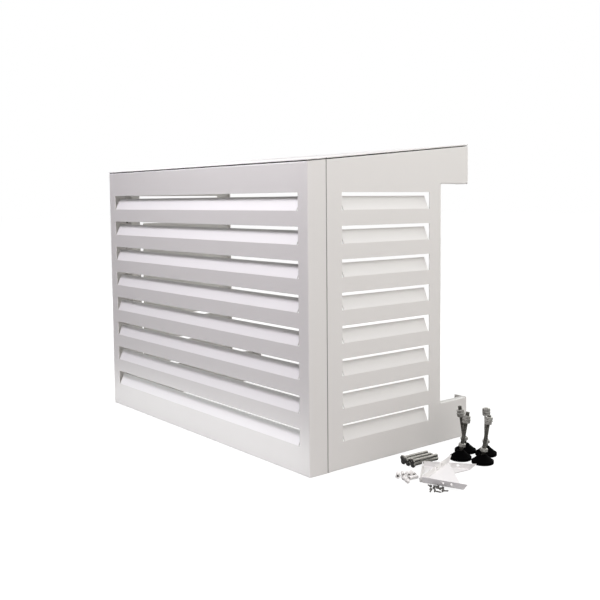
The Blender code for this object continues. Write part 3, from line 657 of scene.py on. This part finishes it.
def makePad(radius, height):
    # the socket closes over the ball's middle, and the cone stands on an upright rim
    part = padParts
    rim, soft, collar = part["rimHeight"], part["rimRound"], part["collarRadius"]
    socket, centre, sole = part["socketRadius"], part["ballHeight"], part["soleDepth"]
    inner, outer = (radius * share for share in part["soleShares"])
    base = [(0, sole), (inner, sole), (outer, 0), (radius - soft, 0)]
    base += [(radius - soft + soft * math.sin(angle), soft - soft * math.cos(angle))
             for angle in evenly(0, math.pi / 2, 4)]
    base += [(radius - soft + soft * math.cos(angle), rim - soft + soft * math.sin(angle))
             for angle in evenly(0, math.pi / 2, 4)]
    run = radius - soft * part["ledgeRounds"] - collar
    rise = height - part["collarHeight"] - rim
    cone = [(collar + run * (1 - share), rim + rise * share)
            for share in evenly(*part["coneShares"], 6)]
    opening = math.acos(part["mouthRise"] / socket)
    mouth, bevel, edge = socket * math.sin(opening), part["mouthBevel"], part["collarRound"]
    lip = [(collar, height - edge), (collar - edge, height), (mouth + bevel, height),
           (mouth, height - bevel)]
    hollow = [(socket * math.sin(angle), centre + socket * math.cos(angle))
              for angle in evenly(opening, math.pi, 16)]
    return turned("pad", base + cone + lip + hollow, part["segments"])


def buildFeet():
    nut = makeNut(footParts["nutFlats"], footParts["nutHeight"], footParts["nutBore"])
    turns = iter(footParts["nutTurns"])
    for number in range(1, 5):
        name = f"foot_{number}"
        place = footFrame(number)
        low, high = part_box(name + "_pad")
        pad = makePad((high[0] - low[0]) / 2, high[2] - low[2])
        middle = Matrix.Translation(((low[0] + high[0]) / 2, (low[1] + high[1]) / 2, low[2]))
        putPiece(name + "_moulded_pad", pad, middle, "screen_and_kit", "black_plastic",
                 name + "_pad")
        tip = spanOn(name + "_stud", place)[1]
        putPiece(name + "_threaded_stud", makeStud(tip), place, name + "_stud", "zinc_steel",
                 name + "_stud", finish="stud_steel")
        for ending, body in (("_jam_nut", "_jam_nut"), ("_clamp_nut", "_clamp"),
                             ("_top_nut", "_top_nut")):
            foot = spanOn(name + ending, place)[0]
            turn = Matrix.Rotation(math.radians(next(turns)), 4, "Z")
            putPiece(name + ending + "_chamfered", nut.copy(),
                     place @ Matrix.Translation((0, 0, foot)) @ turn, name + body, "zinc_steel",
                     name + ending)
        foot, head = spanOn(name + "_washer", place)
        putPiece(name + "_flat_washer", makeWasher(head - foot),
                 place @ Matrix.Translation((0, 0, foot)), name + "_clamp", "zinc_steel",
                 name + "_washer")


buildFeet()
print("swivel feet built")


# Wall anchors: a hex head, a washer, a slit sleeve and a cone nut on the bolt's end

anchorParts = {
    "flats": 0.0128,
    "headHeight": 0.0043,
    "headBore": 0.0002,
    "washerRadius": 0.0063,
    "washerHeight": 0.0013,
    "washerEdge": 0.0003,
    "washerSink": 0.0004,
    "washerSegments": 40,
    "radius": 0.00395,
    "sleeveEndShare": 0.80,
    "coneWaist": 0.86,
    "coneSteepness": 2.5,
    "tipStartShare": 0.85,
    "tipStep": 0.0004,
    "slitCount": 4,
    "slitStartShare": 0.30,
    "slitDepth": 0.0009,
    "slitShare": 0.022,
    "bandShares": (0.24, 0.27),
    "bandDepth": 0.0005,
    "rows": 60,
    "segments": 72,
}


def makeAnchor(length):
    part = anchorParts
    seat, wide, edge = part["headHeight"], part["washerRadius"], part["washerEdge"]
    head = makeNut(part["flats"], seat, part["headBore"], "anchor head")
    foot, top = seat - part["washerSink"], seat + part["washerHeight"]
    collar = turned("collar", [(0, foot), (wide - edge, foot), (wide, seat), (wide, top - edge),
                               (wide - edge, top), (0, top)], part["washerSegments"])
    sleeveEnd = length * part["sleeveEndShare"]
    bandStart, bandEnd = part["bandShares"]

    def radiusAt(height, turn):
        radius = part["radius"]
        if height > sleeveEnd:
            flare = (height - sleeveEnd) / (length - sleeveEnd)
            waist = part["coneWaist"]
            skin = radius * (waist + (1 - waist) * min(1, flare * part["coneSteepness"]))
            return skin - (part["tipStep"] if flare > part["tipStartShare"] else 0)
        if bandStart < height / length < bandEnd:
            radius -= part["bandDepth"]
        slit = inSlit(turn, part["slitCount"], part["slitShare"])
        if slit and height > length * part["slitStartShare"]:
            radius -= part["slitDepth"]
        return radius

    rod = shapedRod("sleeve", evenly(seat, length, part["rows"]), part["segments"], radiusAt)
    return joined("anchor", [head, collar, rod])


def buildAnchors():
    for number in range(1, 9):
        place, length = layOf(f"wall_anchor_{number}")
        putPiece(f"sleeve_anchor_{number}", makeAnchor(length), place, "screen_and_kit",
                 "zinc_steel", f"wall_anchor_{number}", finish="anchor_steel")


buildAnchors()
print("wall anchors built")


# Wall plugs: a collar, ribs that lean back, and a slit through the far half

plugParts = {
    "collarRadius": 0.0059,
    "collarHeight": 0.0018,
    "radius": 0.0047,
    "ribPitch": 0.0030,
    "ribDepth": 0.0009,
    "noseStartShare": 0.88,
    "noseTaper": 0.42,
    "slitCount": 2,
    "slitStartShare": 0.42,
    "slitShare": 0.035,
    "slitRadiusShare": 0.35,
    "boreRadius": 0.0028,
    "boreShare": 0.7,
    "rows": 84,
    "segments": 48,
}


def makePlug(length):
    part = plugParts
    noseStart = length * part["noseStartShare"]

    def radiusAt(height, turn):
        if height <= part["collarHeight"]:
            return part["collarRadius"]
        rib = (height - part["collarHeight"]) / part["ribPitch"] % 1
        nose = max(0, height - noseStart) / (length - noseStart)
        radius = part["radius"] - part["ribDepth"] * (1 - rib)
        radius *= 1 - part["noseTaper"] * nose ** 2
        slit = inSlit(turn, part["slitCount"], part["slitShare"])
        if slit and height > length * part["slitStartShare"]:
            radius *= part["slitRadiusShare"]
        return radius

    bore = (part["boreRadius"], length * part["boreShare"])
    return shapedRod("plug", evenly(0, length, part["rows"]), part["segments"], radiusAt, bore)


def buildPlugs():
    for number in range(1, 7):
        place, length = layOf(f"wall_plug_{number}")
        putPiece(f"ribbed_plug_{number}", makePlug(length), place, "screen_and_kit", "white_nylon",
                 f"wall_plug_{number}")


buildPlugs()
print("wall plugs built")


# Small screws: a domed head with a cross recess over a tapping thread

screwParts = {
    "headRadius": 0.0034,
    "headHeight": 0.0025,
    "headEdge": 0.0001,
    "headSegments": 32,
    "crest": 0.00178,
    "depth": 0.0005,
    "pitch": 0.0013,
    "pointStartShare": 0.82,
    "tipRadius": 0.0001,
    "shankShift": 0.0002,
    "rows": 110,
    "segments": 20,
    "recessLength": 0.0036,
    "recessWidth": 0.0008,
    "recessDepth": 0.0014,
}


def makeScrew(length):
    part = screwParts
    wide, high, shift = part["headRadius"], part["headHeight"], part["shankShift"]
    dome = [(wide * math.sin(angle), high * (1 - math.cos(angle)))
            for angle in evenly(0, math.pi / 2, 7)]
    under = high + part["headEdge"]
    head = turned("head", dome + [(wide, under), (0, under)], part["headSegments"])
    head = cutMesh("head", head, crossRecess(), "DIFFERENCE")
    pointStart = length * part["pointStartShare"]

    def radiusAt(height, turn):
        radius = threadRadius(height, turn, part["crest"], part["depth"], part["pitch"])
        point = max(0, height - pointStart) / (length - pointStart)
        return max(part["tipRadius"], radius * (1 - point))

    shank = shapedRod("shank", evenly(high - shift, length - shift, part["rows"]),
                      part["segments"], radiusAt)
    return joined("screw", [head, shank])


def crossRecess():
    long, narrow = screwParts["recessLength"], screwParts["recessWidth"]
    bm = bmesh.new()
    for sizes in ((long, narrow), (narrow, long)):
        bar = bmesh.ops.create_cube(bm, size=1)
        bmesh.ops.scale(bm, verts=bar["verts"], vec=(*sizes, screwParts["recessDepth"] * 2))
    return meshFrom(bm, "recess", meshing["prismSharpAngle"])


def buildScrews():
    for number in range(1, 9):
        place, length = layOf(f"small_screw_{number}")
        putPiece(f"cross_head_screw_{number}", makeScrew(length), place, "screen_and_kit",
                 "black_steel", f"small_screw_{number}")


buildScrews()
print("small screws built")


# Floor, light and camera

studio = {
    "floorReach": 30,
    "floorCells": 8,
    "floorDrop": 0.0004,
    "floorColour": (0.45, 0.45, 0.45),
    "floorGlow": 0.90,
    "floorShade": (0.22, 0.22, 0.22),
    "shadowReach": (1.3, 2.6),
    "ambient": (0.020, 0.020, 0.020),
}

# name: place, aim, power in watts for red, green and blue, width and depth in metres
softboxes = {
    "front top": ((0.32, -1.05, 2.3), (0.1, 0, 0.4), (30.6, 28.4, 31.4), (1.7, 0.7)),
    "front near top": ((0.25, -0.50, 1.50), (0.1, 0, 0.4), (4.4, 4.6, 4.4), (0.8, 0.35)),
    "front floor": ((-0.05, -0.13, 0.012), (-0.05, 0, 0.03), (0.50, 0.52, 0.51), (1.2, 0.05)),
    "right top": ((1.75, 0.2, 2.1), (0.5, 0.25, 0.4), (14.0, 14.4, 14.0), (0.9, 0.9)),
    "behind": ((0.3, 2.3, 1.2), (0, 0.2, 0.4), (26.0, 26.5, 24.2), (2.4, 1.6)),
    "left fill": ((-3.0, 0.8, 1.4), (-0.5, 0.25, 0.4), (44.0, 43.3, 42.6), (2.4, 2.4)),
    "right fill": ((3.0, 0.1, 1.3), (0.5, 0.25, 0.4), (36.0, 34.2, 33.0), (3.4, 2.4)),
}


def seenRays(desk):
    # 1 for rays from the camera, also by way of a mirror or a clear thing, and 0 for the others
    camera = desk.add("ShaderNodeLightPath", output="Is Camera Ray")
    glossy = desk.add("ShaderNodeLightPath", output="Is Glossy Ray")
    through = desk.add("ShaderNodeLightPath", output="Is Transmission Ray")
    return (camera + glossy + through).capped()


def buildFloor():
    # seen, it glows white with a faint shadow; for every other ray it is plain and greyer
    bm = bmesh.new()
    bmesh.ops.create_grid(bm, x_segments=studio["floorCells"], y_segments=studio["floorCells"],
                          size=studio["floorReach"])
    floor = bpy.data.objects.new("floor", meshFrom(bm, "floor"))
    floor.location.z = -studio["floorDrop"]
    bpy.context.scene.collection.objects.link(floor)
    material = bpy.data.materials.new("floor")
    material.use_nodes = True
    desk = Desk(material.node_tree)
    material.node_tree.nodes.remove(material.node_tree.nodes["Principled BSDF"])
    plain = desk.add("ShaderNodeBsdfDiffuse", values={"Color": (*studio["floorColour"], 1)})
    faint = desk.add("ShaderNodeBsdfDiffuse", values={"Color": (*studio["floorShade"], 1)})
    away = desk.add("ShaderNodeVectorMath", {"operation": "LENGTH"}, {0: desk.objectPlace()},
                    output=1)
    strength = desk.ramp(away, *studio["shadowReach"], studio["floorGlow"], 1.0)
    glow = desk.add("ShaderNodeEmission", values={"Strength": strength})
    lit = desk.add("ShaderNodeAddShader", values={0: faint, 1: glow})
    mixed = desk.add("ShaderNodeMixShader", values={0: seenRays(desk), 1: plain, 2: lit})
    desk.feed(material.node_tree.nodes["Material Output"], {"Surface": mixed})
    floor.data.materials.append(material)


def buildWorld():
    world = bpy.data.worlds.new("studio")
    world.use_nodes = True
    bpy.context.scene.world = world
    desk = Desk(world.node_tree)
    tone = desk.blend(seenRays(desk), studio["ambient"], (1, 1, 1))
    desk.feed(world.node_tree.nodes["Background"], {"Color": tone, "Strength": 1.0})


def addSoftbox(name, place, aim, power, spread):
    light = bpy.data.lights.new(name, "AREA")
    light.energy = max(power)
    light.color = [share / max(power) for share in power]
    light.shape = "RECTANGLE"
    light.size, light.size_y = spread
    lamp = bpy.data.objects.new(name, light)
    lamp.visible_camera = False
    lamp.location = place
    lamp.rotation_euler = (Vector(aim) - Vector(place)).to_track_quat("-Z", "Y").to_euler()
    bpy.context.scene.collection.objects.link(lamp)


def buildLights():
    for name, values in softboxes.items():
        addSoftbox(name, *values)


shot = {
    "place": (1.9831, -1.2312, 0.6439),
    "heading": 51.140,
    "downTilt": 4.346,
    "roll": 0.509,
    "focalPixels": 848.2,
    "imageSize": 600,
    "axisRow": 265,
    "sensorWidth": 36,
}


def buildCamera():
    data = bpy.data.cameras.new("camera")
    data.sensor_width = shot["sensorWidth"]
    data.lens = shot["focalPixels"] / shot["imageSize"] * shot["sensorWidth"]
    data.shift_y = (shot["axisRow"] - shot["imageSize"] / 2) / shot["imageSize"]
    camera = bpy.data.objects.new("camera", data)
    camera.matrix_world = (Matrix.Translation(shot["place"])
                           @ Matrix.Rotation(math.radians(shot["heading"]), 4, "Z")
                           @ Matrix.Rotation(math.radians(90 - shot["downTilt"]), 4, "X")
                           @ Matrix.Rotation(math.radians(-shot["roll"]), 4, "Z"))
    bpy.context.scene.collection.objects.link(camera)
    bpy.context.scene.camera = camera


buildFloor()
buildWorld()
buildLights()
buildCamera()
bpy.context.scene.view_settings.view_transform = "Standard"
print("studio built")
